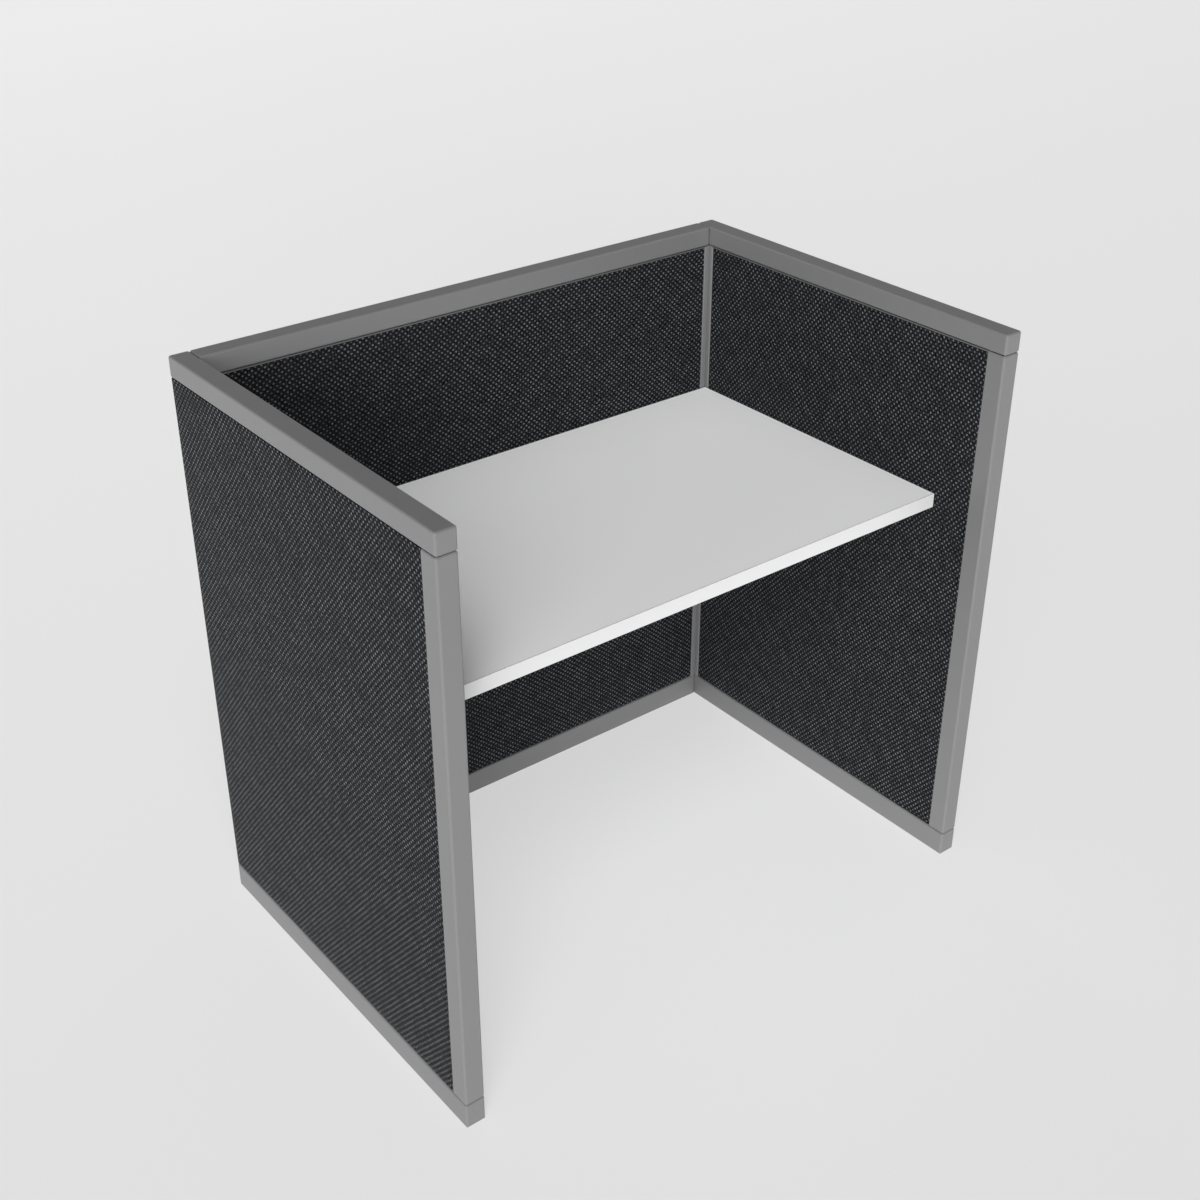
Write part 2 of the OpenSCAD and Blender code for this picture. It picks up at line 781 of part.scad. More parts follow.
left_top_cap();
right_top_cap();
back_top_cap();
left_base_rail();
right_base_rail();
back_base_rail();
left_end_post();
right_end_post();
left_corner_trim();
right_corner_trim();
left_rear_strip();
right_rear_strip();
tile_strips();
left_frame_stiles();
right_frame_stiles();
back_frame_stiles();
left_frame_rails();
right_frame_rails();
back_frame_rails();
left_core();
right_core();
back_core();
left_inner_board();
left_outer_board();
right_inner_board();
right_outer_board();
back_inner_board();
back_outer_board();
left_inner_fabric();
left_outer_fabric();
right_inner_fabric();
right_outer_fabric();
back_inner_fabric();
back_outer_fabric();
worktop_core();
worktop_laminate();
worktop_backer();
worktop_edge_bands();
left_worktop_angle();
right_worktop_angle();
rear_worktop_angle();
angle_panel_screws();
worktop_screws();
corner_bolts();
corner_nuts();
base_rail_screws();
foot_nut_plates();
left_front_foot_pad();
left_rear_foot_pad();
right_front_foot_pad();
right_rear_foot_pad();
back_left_foot_pad();
back_right_foot_pad();
left_front_foot_stem();
left_rear_foot_stem();
right_front_foot_stem();
right_rear_foot_stem();
back_left_foot_stem();
back_right_foot_stem();
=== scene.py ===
"""Cubicle workstation: cloth, paint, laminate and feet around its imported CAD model."""

import json
import math

import bmesh
import bpy
from mathutils import Matrix, Vector


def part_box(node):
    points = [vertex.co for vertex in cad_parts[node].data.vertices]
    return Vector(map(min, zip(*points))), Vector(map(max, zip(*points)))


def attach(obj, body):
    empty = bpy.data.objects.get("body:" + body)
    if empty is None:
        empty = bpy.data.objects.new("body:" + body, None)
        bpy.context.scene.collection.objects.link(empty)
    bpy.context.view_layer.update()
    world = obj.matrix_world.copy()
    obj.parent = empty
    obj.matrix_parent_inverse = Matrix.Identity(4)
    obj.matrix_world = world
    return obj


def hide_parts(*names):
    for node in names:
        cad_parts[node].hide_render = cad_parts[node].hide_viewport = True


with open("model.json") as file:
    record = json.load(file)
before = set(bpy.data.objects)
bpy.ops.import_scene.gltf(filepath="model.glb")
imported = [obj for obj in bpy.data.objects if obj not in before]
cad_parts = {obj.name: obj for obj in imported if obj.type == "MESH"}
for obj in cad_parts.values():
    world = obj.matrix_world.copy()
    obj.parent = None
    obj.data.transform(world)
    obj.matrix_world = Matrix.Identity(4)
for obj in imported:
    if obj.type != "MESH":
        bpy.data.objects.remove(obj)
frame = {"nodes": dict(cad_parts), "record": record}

MM = 0.001
X, Y, Z = 0, 1, 2
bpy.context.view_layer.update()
scene = bpy.context.scene
scene.view_settings.view_transform = "Standard"


# Shader nodes in a few words


def feed(tree, socket, value):
    """Links an input to a socket, or sets it to a plain value."""
    if isinstance(value, bpy.types.NodeSocket):
        tree.links.new(value, socket)
    else:
        socket.default_value = value


def put(tree, kind, feeds=None, **settings):
    """Adds one node with its settings, and feeds its inputs."""
    made = tree.nodes.new("ShaderNode" + kind)
    for name, value in settings.items():
        setattr(made, name, value)
    for name, value in (feeds or {}).items():
        feed(tree, made.inputs[name], value)
    return made


def sums(tree, operation, *values, clamp=False):
    """One Math node, from its values to its result."""
    feeds = dict(enumerate(values))
    return put(tree, "Math", feeds, operation=operation, use_clamp=clamp).outputs[0]


def vectors(tree, operation, *values, result="Vector"):
    """One Vector Math node, from its values to its result."""
    feeds = dict(enumerate(values))
    return put(tree, "VectorMath", feeds, operation=operation).outputs[result]


def scaled(tree, vector, factor):
    """A vector times one number."""
    made = put(tree, "VectorMath", {"Vector": vector, "Scale": factor}, operation="SCALE")
    return made.outputs["Vector"]


def ramp(tree, value, low, high, to_low=0.0, to_high=1.0, smooth=True):
    """A value moved from one range to another."""
    feeds = {"Value": value, "From Min": low, "From Max": high, "To Min": to_low, "To Max": to_high}
    kind = "SMOOTHSTEP" if smooth else "LINEAR"
    return put(tree, "MapRange", feeds, interpolation_type=kind).outputs["Result"]


# Where a Mix node keeps its factor, its two sides and its result
MIX_NUMBER = {"factor": 0, "a": 2, "b": 3, "result": 0}
MIX_COLOUR = {"factor": 0, "a": 6, "b": 7, "result": 2}


def between(tree, factor, a, b, at=MIX_NUMBER, kind="FLOAT"):
    """Two numbers mixed by a factor."""
    feeds = {at["factor"]: factor, at["a"]: a, at["b"]: b}
    return put(tree, "Mix", feeds, data_type=kind).outputs[at["result"]]


def tint(tree, factor, a, b):
    """Two colours mixed by a factor."""
    return between(tree, factor, a, b, at=MIX_COLOUR, kind="RGBA")


def noise(tree, place, scale, detail=2.0, roughness=0.5, result="Fac"):
    """A noise texture at a scale per metre."""
    feeds = {"Vector": place, "Scale": scale, "Detail": detail, "Roughness": roughness}
    return put(tree, "TexNoise", feeds).outputs[result]


def new_group(name, inputs, outputs):
    """A shader node group: its tree, inputs and outputs.

    An input's socket follows its value: a float, a tuple for a vector or a list for a colour.
    """
    tree = bpy.data.node_groups.new(name, "ShaderNodeTree")
    for label, value in inputs.items():
        kind = {float: "Float", tuple: "Vector", list: "Color"}[type(value)]
        socket = tree.interface.new_socket(label, in_out="INPUT", socket_type="NodeSocket" + kind)
        socket.default_value = value
    for label, kind in outputs.items():
        tree.interface.new_socket(label, in_out="OUTPUT", socket_type="NodeSocket" + kind)
    given = tree.nodes.new("NodeGroupInput").outputs
    back = tree.nodes.new("NodeGroupOutput").inputs
    return tree, given, back


def use_group(tree, group, **feeds):
    """Places a group. Its inputs are named with _ for a space."""
    made = tree.nodes.new("ShaderNodeGroup")
    made.node_tree = group
    for name, value in feeds.items():
        feed(tree, made.inputs[name.replace("_", " ").capitalize()], value)
    return made.outputs


def rgb(red, green, blue):
    return [red, green, blue, 1.0]


def grey(level):
    return rgb(level, level, level)


# Effects that several finishes share. Every noise and chance has its mean at the middle of 0 and 1

MEAN = 0.5
MIDDLE = (MEAN, MEAN, MEAN)
NO_PLACE = (0.0, 0.0, 0.0)


def make_tone_drift():
    """Slow drift of a colour's tone over a surface, and fine specks in it."""
    tree, given, back = new_group(
        "tone drift",
        {"Colour": grey(0.5), "Place": NO_PLACE, "Cloud scale": 5.0, "Cloud": 0.05, "Speck scale": 900.0,
         "Speck": 0.03},
        {"Colour": "Color"},
    )
    cloud = sums(tree, "SUBTRACT", noise(tree, given["Place"], given["Cloud scale"]), MEAN)
    speck = sums(tree, "SUBTRACT", noise(tree, given["Place"], given["Speck scale"], detail=1.0), MEAN)
    lift = sums(tree, "MULTIPLY_ADD", cloud, given["Cloud"], 1.0)
    lift = sums(tree, "MULTIPLY_ADD", speck, given["Speck"], lift)
    tree.links.new(scaled(tree, given["Colour"], lift), back["Colour"])
    return tree


SKIN_GRAIN = {"detail": 3.0, "roughness": 0.6}
SKIN_MASK = {"low": 0.3, "high": 0.7}


def make_skin():
    """The small relief of a painted, moulded or pressed surface, as a height and a mask."""
    tree, given, back = new_group(
        "surface skin",
        {"Place": NO_PLACE, "Scale": 600.0, "Waviness": 0.3, "Wave scale": 25.0},
        {"Height": "Float", "Mask": "Float"},
    )
    fine = noise(tree, given["Place"], given["Scale"], **SKIN_GRAIN)
    wave = noise(tree, given["Place"], given["Wave scale"], detail=1.0)
    tree.links.new(sums(tree, "MULTIPLY_ADD", wave, given["Waviness"], fine), back["Height"])
    tree.links.new(ramp(tree, fine, **SKIN_MASK), back["Mask"])
    return tree


# Dust starts where a normal's upward share passes low, and lies in full at high
DUST_SLOPE = {"low": 0.6, "high": 1.0}
DUST_PATCHES = {"scale": 38.0, "detail": 5.0, "roughness": 0.65}
DUST_COVER = {"low": 0.35, "high": 0.75}


def make_settled_dust():
    """Pale dust on faces that look up, thin and uneven."""
    tree, given, back = new_group(
        "settled dust",
        {"Colour": grey(0.5), "Dust colour": grey(0.5), "Place": NO_PLACE, "Amount": 0.05},
        {"Colour": "Color", "Mask": "Float"},
    )
    normal = put(tree, "NewGeometry").outputs["Normal"]
    upward = put(tree, "SeparateXYZ", {"Vector": normal}).outputs["Z"]
    level = ramp(tree, upward, **DUST_SLOPE)
    patchy = ramp(tree, noise(tree, given["Place"], **DUST_PATCHES), **DUST_COVER)
    mask = sums(tree, "MULTIPLY", sums(tree, "MULTIPLY", level, patchy), given["Amount"])
    tree.links.new(tint(tree, mask, given["Colour"], given["Dust colour"]), back["Colour"])
    tree.links.new(mask, back["Mask"])
    return tree


FIBRES_PER_CHIP = 5.0
CHIP_FIBRES = {"detail": 3.0, "roughness": 0.7}
# How much of the tone comes from the chips and how much from the fibres in them
CHIP_SHARE, FIBRE_SHARE = 0.5, 0.5


def make_fibre_mat():
    """Pressed wood or paper fibres: short streaks, lighter and darker."""
    tree, given, back = new_group(
        "fibre mat",
        {"Place": NO_PLACE, "Chip size": 0.004, "Pale": grey(0.6), "Dark": grey(0.3)},
        {"Colour": "Color", "Height": "Float"},
    )
    density = sums(tree, "DIVIDE", 1.0, given["Chip size"])
    push = scaled(tree, noise(tree, given["Place"], density, result="Color"), given["Chip size"])
    bent = vectors(tree, "ADD", given["Place"], push)
    chips = put(tree, "TexVoronoi", {"Vector": bent, "Scale": density})
    shade = put(tree, "SeparateColor", {"Color": chips.outputs["Color"]}).outputs["Red"]
    fine = noise(tree, bent, sums(tree, "MULTIPLY", density, FIBRES_PER_CHIP), **CHIP_FIBRES)
    tone = sums(tree, "MULTIPLY_ADD", fine, FIBRE_SHARE, sums(tree, "MULTIPLY", shade, CHIP_SHARE))
    tree.links.new(tint(tree, tone, given["Dark"], given["Pale"]), back["Colour"])
    tree.links.new(sums(tree, "SUBTRACT", tone, chips.outputs["Distance"]), back["Height"])
    return tree


# The weave's floats stand on a centred lattice: two plain lattices, one shifted by half a spacing
FLOAT_PITCH = 11.9 * MM
ROW_PITCH = 5.23 * MM
FLOAT_HALF = (2.15 * MM, 1.75 * MM, 1.0)
LATTICE_SPACING = (FLOAT_PITCH, 2 * ROW_PITCH, 1.0)
LATTICE_SHIFTS = ((0.0, 0.0, 0.0), (0.5, 0.5, 0.0))
# Distances from a float's middle, in its half sizes, between which each effect rises
FLOAT_RIM = {"low": 1.2, "high": 0.75}
FLOAT_DOME = {"low": 1.25, "high": 0.0}
# The painted shadow round each float: the ground is darkened there as if the raised float shaded it
FLOAT_PAINTED_SHADOW = {"low": 2.1, "high": 1.0}
# Takes the third axis off a place on the cloth
ON_CLOTH = (1.0, 1.0, 0.0)


def make_yarn_floats():
    """One lattice of yarn floats: their mask, tones and domes, and a painted shadow round each."""
    tree, given, back = new_group(
        "yarn floats",
        {"Place": NO_PLACE, "Spacing": (0.01, 0.01, 1.0), "Shift": NO_PLACE,
         "Half size": (0.002, 0.001, 1.0), "Stray": 0.8 * MM},
        {"Mask": "Float", "Tone": "Float", "Dome": "Float", "Gap": "Float"},
    )
    cells = vectors(tree, "ADD", vectors(tree, "DIVIDE", given["Place"], given["Spacing"]), given["Shift"])
    index = vectors(tree, "FLOOR", cells)
    chance = put(tree, "TexWhiteNoise", {"Vector": index}, noise_dimensions="3D")
    centred = vectors(tree, "SUBTRACT", vectors(tree, "SUBTRACT", cells, index), MIDDLE)
    inside = vectors(tree, "MULTIPLY", centred, given["Spacing"])
    drift = vectors(tree, "SUBTRACT", chance.outputs["Color"], MIDDLE)
    inside = vectors(tree, "ADD", inside, scaled(tree, drift, given["Stray"]))
    shape = vectors(tree, "DIVIDE", vectors(tree, "MULTIPLY", inside, ON_CLOTH), given["Half size"])
    away = vectors(tree, "LENGTH", shape, result="Value")
    tree.links.new(ramp(tree, away, **FLOAT_RIM), back["Mask"])
    tree.links.new(chance.outputs["Value"], back["Tone"])
    tree.links.new(ramp(tree, away, **FLOAT_DOME), back["Dome"])
    tree.links.new(ramp(tree, away, **FLOAT_PAINTED_SHADOW), back["Gap"])
    return tree


# The rows wander slowly over the cloth
WANDER = 2.4 * MM
WANDER_SCALE = 9.0
# The dark ground: a fine plain weave with six threads to a float each way, its yarns and their fibres
GROUND_THREADS = 6
GROUND_PITCH = (FLOAT_PITCH / GROUND_THREADS, 2 * ROW_PITCH / GROUND_THREADS, 1.0)
FIBRE_STRETCH = (1.0, 2.2, 1.0)
FIBRES = {"scale": 2600.0, "detail": 2.0, "roughness": 0.6}
YARN_STRETCH = (1.0, 0.4, 1.0)
YARNS = {"scale": 430.0, "detail": 2.0, "roughness": 0.7}
YARN_TONES = {"low": 0.34, "high": 0.66, "to_low": 0.1, "to_high": 2.1}
# Ground tone from far off a float to right beside it, where the painted shadow darkens it
PAINTED_SHADOW_TONES = {"low": 0.0, "high": 1.0, "to_low": 1.3, "to_high": 0.35}
FLOAT_TONES = {"low": 0.25, "high": 0.75, "to_low": 0.7, "to_high": 1.3, "smooth": False}
CROSSING_TONE, FIBRE_TONE = 1.5, 0.9
CROSSING_HEIGHT, FIBRE_HEIGHT = 0.35, 0.12


def make_panel_weave(yarn_floats):
    """Dark cloth with pale floats on a centred lattice, over a fine plain weave, with a painted shadow round
    each float.
    """
    tree, given, back = new_group(
        "panel weave",
        {"Place": NO_PLACE, "Ground": grey(0.01), "Float": grey(0.15), "Tone spread": 0.8},
        {"Colour": "Color", "Height": "Float", "Mask": "Float"},
    )
    wander = noise(tree, given["Place"], WANDER_SCALE, detail=1.0, result="Color")
    wander = scaled(tree, vectors(tree, "SUBTRACT", wander, MIDDLE), WANDER)
    place = vectors(tree, "ADD", given["Place"], vectors(tree, "MULTIPLY", wander, ON_CLOTH))
    first, second = [
        use_group(tree, yarn_floats, place=place, spacing=LATTICE_SPACING, shift=shift, half_size=FLOAT_HALF)
        for shift in LATTICE_SHIFTS
    ]
    mask, dome, painted_shadow = [sums(tree, "MAXIMUM", first[label], second[label]) for label in ("Mask", "Dome", "Gap")]
    in_second = sums(tree, "GREATER_THAN", second["Mask"], first["Mask"])
    tone = between(tree, in_second, first["Tone"], second["Tone"])

    # One small bump to each crossing of the ground's threads
    turns = vectors(tree, "DIVIDE", scaled(tree, place, math.pi), GROUND_PITCH)
    parts = put(tree, "SeparateXYZ", {"Vector": turns}).outputs
    waves = [sums(tree, "ABSOLUTE", sums(tree, "SINE", parts[axis])) for axis in ("X", "Y")]
    crossing = sums(tree, "MULTIPLY", *waves)
    fibre = noise(tree, vectors(tree, "MULTIPLY", place, FIBRE_STRETCH), **FIBRES)
    yarn = ramp(tree, noise(tree, vectors(tree, "MULTIPLY", place, YARN_STRETCH), **YARNS), **YARN_TONES)
    ground = sums(tree, "MULTIPLY_ADD", crossing, CROSSING_TONE, sums(tree, "MULTIPLY", fibre, FIBRE_TONE))
    # Painted shadow: the ground darkens round each float as if shaded by the raised yarn
    ground = sums(tree, "MULTIPLY", ground, sums(tree, "MULTIPLY", yarn, ramp(tree, painted_shadow, **PAINTED_SHADOW_TONES)))
    ground = scaled(tree, given["Ground"], ground)

    lift = sums(tree, "MULTIPLY_ADD", sums(tree, "SUBTRACT", tone, MEAN), given["Tone spread"], 1.0)
    lift = sums(tree, "MULTIPLY", lift, ramp(tree, fibre, **FLOAT_TONES))
    tree.links.new(tint(tree, mask, ground, scaled(tree, given["Float"], lift)), back["Colour"])
    height = sums(tree, "MULTIPLY_ADD", crossing, CROSSING_HEIGHT, dome)
    tree.links.new(sums(tree, "MULTIPLY_ADD", fibre, FIBRE_HEIGHT, height), back["Height"])
    tree.links.new(mask, back["Mask"])
    return tree


tone_drift = make_tone_drift()
surface_skin = make_skin()
settled_dust = make_settled_dust()
fibre_mat = make_fibre_mat()
panel_weave = make_panel_weave(make_yarn_floats())


# Finishes


def new_finish(name):
    """An empty material: its tree, its shader and the place on the piece in metres."""
    made = bpy.data.materials.new(name)
    made.use_nodes = True
    tree = made.node_tree
    tree.nodes.clear()
    shader = put(tree, "BsdfPrincipled")
    out = tree.nodes.new("ShaderNodeOutputMaterial")
    tree.links.new(shader.outputs["BSDF"], out.inputs["Surface"])
    place = put(tree, "TexCoord").outputs["Object"]
    return made, tree, shader, place


def relief(tree, shader, height, depth):
    """Feeds a height, times depth in metres, to the shader's normal."""
    bump = put(tree, "Bump", {"Height": height, "Distance": depth, "Strength": 1.0})
    tree.links.new(bump.outputs["Normal"], shader.inputs["Normal"])


# How far a coating's roughness strays over its skin
ROUGH_SPREAD = 0.08


def coated(name, colour, rough, grain, depth, metal=0.0, cloud=0.05, speck=0.03, dust=0.0, waviness=0.3):
    """Paint, plastic or laminate: one colour with drift, a skin and some dust.

    grain is the skin's scale per metre and depth is its relief.
    """
    made, tree, shader, place = new_finish(name)
    drifted = use_group(tree, tone_drift, colour=colour, place=place, cloud=cloud, speck=speck)
    dusty = use_group(tree, settled_dust, colour=drifted["Colour"], place=place, amount=dust)
    skin = use_group(tree, surface_skin, place=place, scale=grain, waviness=waviness)
    tree.links.new(dusty["Colour"], shader.inputs["Base Color"])
    spread = ramp(tree, skin["Mask"], 0.0, 1.0, rough - ROUGH_SPREAD, rough + ROUGH_SPREAD, smooth=False)
    tree.links.new(sums(tree, "ADD", spread, dusty["Mask"], clamp=True), shader.inputs["Roughness"])
    shader.inputs["Metallic"].default_value = metal
    relief(tree, shader, skin["Height"], depth)
    return made


CLOTH_GROUND = rgb(0.0088, 0.0093, 0.0102)
CLOTH_FLOAT = rgb(0.1065, 0.1106, 0.119)
CLOTH_DRIFT = {"cloud": 0.16, "cloud_scale": 7.0, "speck": 0.35, "speck_scale": 45.0}
CLOTH_RELIEF = 0.35 * MM
CLOTH_SHADER = {"Roughness": 0.85, "Sheen Weight": 0.1, "Sheen Roughness": 0.3, "Specular IOR Level": 0.05}


def make_cloth():
    """The panels' cloth, laid out by the flat place that cloth_tile gives each point."""
    made, tree, shader, _ = new_finish("charcoal panel cloth")
    place = put(tree, "Attribute", attribute_name="cloth_place", attribute_type="GEOMETRY").outputs["Vector"]
    weave = use_group(tree, panel_weave, place=place, ground=CLOTH_GROUND, float=CLOTH_FLOAT)
    drifted = use_group(tree, tone_drift, colour=weave["Colour"], place=place, **CLOTH_DRIFT)
    tree.links.new(drifted["Colour"], shader.inputs["Base Color"])
    for name, value in CLOTH_SHADER.items():
        shader.inputs[name].default_value = value
    relief(tree, shader, weave["Height"], CLOTH_RELIEF)
    return made


PRESSED_ROUGH = 0.9
PRESSED_RELIEF = 0.15 * MM


def pressed(name, pale, dark, chip):
    """Fibreboard, particle board or kraft paper."""
    made, tree, shader, place = new_finish(name)
    mat = use_group(tree, fibre_mat, place=place, chip_size=chip, pale=pale, dark=dark)
    tree.links.new(mat["Colour"], shader.inputs["Base Color"])
    shader.inputs["Roughness"].default_value = PRESSED_ROUGH
    relief(tree, shader, mat["Height"], PRESSED_RELIEF)
    return made


ZINC_DARK, ZINC_PALE = rgb(0.52, 0.53, 0.55), rgb(0.68, 0.69, 0.7)
ZINC_GRAINS = 420.0
ZINC_ROUGH = {"to_low": 0.26, "to_high": 0.42}
ZINC_SCRATCHES = 1500.0
ZINC_RELIEF = 0.02 * MM


def make_zinc():
    """Bright zinc plate, with grains of slightly different tone and gloss."""
    made, tree, shader, place = new_finish("bright zinc")
    grains = put(tree, "TexVoronoi", {"Vector": place, "Scale": ZINC_GRAINS})
    shade = put(tree, "SeparateColor", {"Color": grains.outputs["Color"]}).outputs["Red"]
    tree.links.new(tint(tree, shade, ZINC_DARK, ZINC_PALE), shader.inputs["Base Color"])
    tree.links.new(ramp(tree, shade, 0.0, 1.0, **ZINC_ROUGH, smooth=False), shader.inputs["Roughness"])
    shader.inputs["Metallic"].default_value = 1.0
    relief(tree, shader, noise(tree, place, ZINC_SCRATCHES), ZINC_RELIEF)
    return made


TRIM_COAT = {"grain": 1400.0, "depth": 0.012 * MM, "metal": 0.15, "speck": 0.05}
trim_paint = coated("satin grey trim paint", rgb(0.191, 0.191, 0.193), rough=0.45, dust=0.02, **TRIM_COAT)
# The thin strips under the caps: a darker copy of the trim paint, painted shade for the shade beneath the
# caps' lower edges
shaded_strip_paint = coated("thin strip paint", rgb(0.12, 0.12, 0.122), rough=0.5, **TRIM_COAT)
# The inner corner trims: a paler copy of the trim paint, painted light that lifts the shade of the inner
# corners
lightened_corner_paint = coated("corner trim paint", rgb(0.2, 0.2, 0.202), rough=0.45, **TRIM_COAT)
laminate = coated("white laminate", grey(0.92), rough=0.48, grain=2600.0, depth=0.012 * MM,
                  cloud=0.015, speck=0.02, waviness=0.8)
# The worktop's edge bands: a darker white than the laminate, painted shade that holds back the strong low
# front light on the edges
darkened_band_plastic = coated("white edge band", rgb(0.62, 0.62, 0.624), rough=0.42, grain=900.0, depth=0.008 * MM,
                      cloud=0.01, speck=0.01)
frame_paint = coated("dark frame paint", rgb(0.06, 0.06, 0.065), rough=0.5, grain=700.0, depth=0.03 * MM,
                     cloud=0.2, speck=0.1)
foot_nylon = coated("black foot nylon", rgb(0.02, 0.02, 0.021), rough=0.55, grain=1100.0, depth=0.03 * MM,
                    cloud=0.1, speck=0.1)
cloth = make_cloth()
fibreboard = pressed("tackable fibreboard", rgb(0.5, 0.38, 0.23), rgb(0.36, 0.26, 0.15), chip=0.8 * MM)
chipboard = pressed("particle board", rgb(0.62, 0.48, 0.3), rgb(0.34, 0.23, 0.13), chip=3.2 * MM)
kraft_paper = pressed("kraft honeycomb", rgb(0.52, 0.38, 0.22), rgb(0.42, 0.3, 0.17), chip=1.5 * MM)
zinc = make_zinc()


def finished(name, mesh, finish, body, node, smooth=False):
    """A new piece that stands for a CAD node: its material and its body."""
    mesh.materials.append(finish)
    made = bpy.data.objects.new(name, mesh)
    scene.collection.objects.link(made)
    for face in mesh.polygons:
        face.use_smooth = smooth
    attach(made, body)
    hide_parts(node)
    return made


def add_block(bm, low, high):
    """A block from its lowest to its highest corner."""
    low, high = Vector(low), Vector(high)
    size = Matrix.Diagonal((*(high - low), 1.0))
    bmesh.ops.create_cube(bm, size=1.0, matrix=Matrix.Translation((low + high) / 2) @ size)


# Cloths, stretched over the tiles' boards and folded round their edges


CLOTH_T = 1.2 * MM
FOLD_R = 1.6 * MM
FOLD_STEPS = 4
GRID = 14 * MM
# The tile's middle stands proud by CROWN, and a higher power keeps more of it flat
CROWN = 0.35 * MM
CROWN_POWER = 4
# The ripple is two crossing waves, each in radians per metre along the tile, up it and of its phase
RIPPLE = 0.12 * MM
RIPPLE_WAVES = ((31, 5.1, 900), (-7.3, 23, 700))


def folded_shell(bm, width, height, depth):
    """A tile's face and its four sides, with round folds and a grid of points.

    X runs along the tile, Y up it and Z outward.
    """
    add_block(bm, (0.0, 0.0, 0.0), (width, height, depth))
    open_back = min(bm.faces, key=lambda f: f.normal.z)
    bmesh.ops.delete(bm, geom=[open_back], context="FACES_ONLY")
    folds = [e for e in bm.edges if not e.is_boundary]
    bmesh.ops.bevel(bm, geom=folds, offset=FOLD_R, segments=FOLD_STEPS, profile=0.5, affect="EDGES",
                    clamp_overlap=True)
    for axis, length in ((X, width), (Y, height)):
        full_run = length - 3 * FOLD_R
        runs = [e for e in bm.edges if abs(e.verts[0].co[axis] - e.verts[1].co[axis]) > full_run]
        bmesh.ops.subdivide_edges(bm, edges=runs, cuts=round(length / GRID), use_grid_fill=True)


def flat_place(at, length, sink):
    """Where a point lies on the flat cloth, from its place on the tile and its depth below the face."""
    if at < FOLD_R / 2:
        return -sink
    if at > length - FOLD_R / 2:
        return length + sink
    return at


def crown_rise(x, y, width, height, phase):
    """How far the stretched face stands proud at a point."""
    u, v = 2 * x / width - 1, 2 * y / height - 1
    bulge = max(0.0, 1 - u ** CROWN_POWER) * max(0.0, 1 - v ** CROWN_POWER)
    ripple = math.prod(math.sin(along * x + up * y + start * phase[k])
                       for k, (along, up, start) in enumerate(RIPPLE_WAVES))
    return CROWN * bulge + RIPPLE * ripple * bulge


def cloth_tile(name, along, axis, side, phase):
    """Cloth stretched over a tile's board. The tile runs along one axis and faces outward on another."""
    low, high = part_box(name + "_fabric")
    width, height, depth = high[along] - low[along], high[Z] - low[Z], high[axis] - low[axis]
    bm = bmesh.new()
    place = bm.verts.layers.float_vector.new("cloth_place")
    folded_shell(bm, width, height, depth)
    for vert in bm.verts:
        x, y, z = vert.co
        sink = depth - z
        across, up = flat_place(x, width, sink), flat_place(y, height, sink)
        # The side panels' weave is turned a quarter
        vert[place] = Vector((up, across, 0.0) if along == Y else (across, up, 0.0)) + Vector(phase)
        if sink < FOLD_R:
            z += crown_rise(x, y, width, height, phase)
        there = Vector((0.0, 0.0, low[Z] + y))
        there[along] = low[along] + x
        there[axis] = (low[axis] + z) if side > 0 else (high[axis] - z)
        vert.co = there
    bmesh.ops.recalc_face_normals(bm, faces=bm.faces)
    widest = max(bm.faces, key=lambda f: f.calc_area())
    if widest.normal[axis] * side < 0:
        bmesh.ops.reverse_faces(bm, faces=bm.faces)
    mesh = bpy.data.meshes.new(name + "_cloth")
    bm.to_mesh(mesh)
    bm.free()
    made = finished(name + "_cloth", mesh, cloth, "workstation", name + "_fabric", smooth=True)
    thick = made.modifiers.new("cloth thickness", "SOLIDIFY")
    thick.thickness = CLOTH_T
    thick.offset = -1.0
    thick.use_rim = True


# Each tile: the axis that it runs along, the axis that it faces on and which way
TILES = {
    "left_inner": (Y, X, 1), "left_outer": (Y, X, -1),
    "right_inner": (Y, X, -1), "right_outer": (Y, X, 1),
    "back_inner": (X, Y, -1), "back_outer": (X, Y, 1),
}
# The weave starts at another place on each tile
PHASE_STEP = (3.1 * MM, 1.7 * MM)
for number, (tile, facing) in enumerate(TILES.items()):
    cloth_tile(tile, *facing, phase=(PHASE_STEP[X] * number, PHASE_STEP[Y] * number, 0.0))


# Caps, posts and base rails: the CAD's channels, with the round edges and corners of a moulding


TRIM_R = 4.0 * MM
TRIM_STEPS = 8
# How far the round block stands outside the channel, so that their faces don't lie in one plane
PROUD = 0.01 * MM
CAP_SEAM = 0.6 * MM
OPEN_RUN = 20.0 * MM
WELD_CAD, WELD_CUT = 0.001 * MM, 0.003 * MM
DOWN, BACK = (0, 0, -1), (0, 1, 0)
# The side on which a trim keeps the CAD's edges
PLAIN_SIDE = {
    "left_top_cap": None, "right_top_cap": None, "back_top_cap": None,
    "left_end_post": BACK, "right_end_post": BACK,
    "left_base_rail": DOWN, "right_base_rail": DOWN, "back_base_rail": DOWN,
}


def round_block(low, high):
    """A block with round edges and corners."""
    bm = bmesh.new()
    add_block(bm, low, high)
    bmesh.ops.bevel(bm, geom=bm.edges[:], offset=TRIM_R, segments=TRIM_STEPS, profile=0.5, affect="EDGES")
    mesh = bpy.data.meshes.new("round_block")
    bm.to_mesh(mesh)
    bm.free()
    return bpy.data.objects.new("round_block", mesh)


def weld(mesh, reach):
    """Joins a mesh's points that lie closer than reach."""
    bm = bmesh.new()
    bm.from_mesh(mesh)
    bmesh.ops.remove_doubles(bm, verts=bm.verts, dist=reach)
    bm.to_mesh(mesh)
    bm.free()


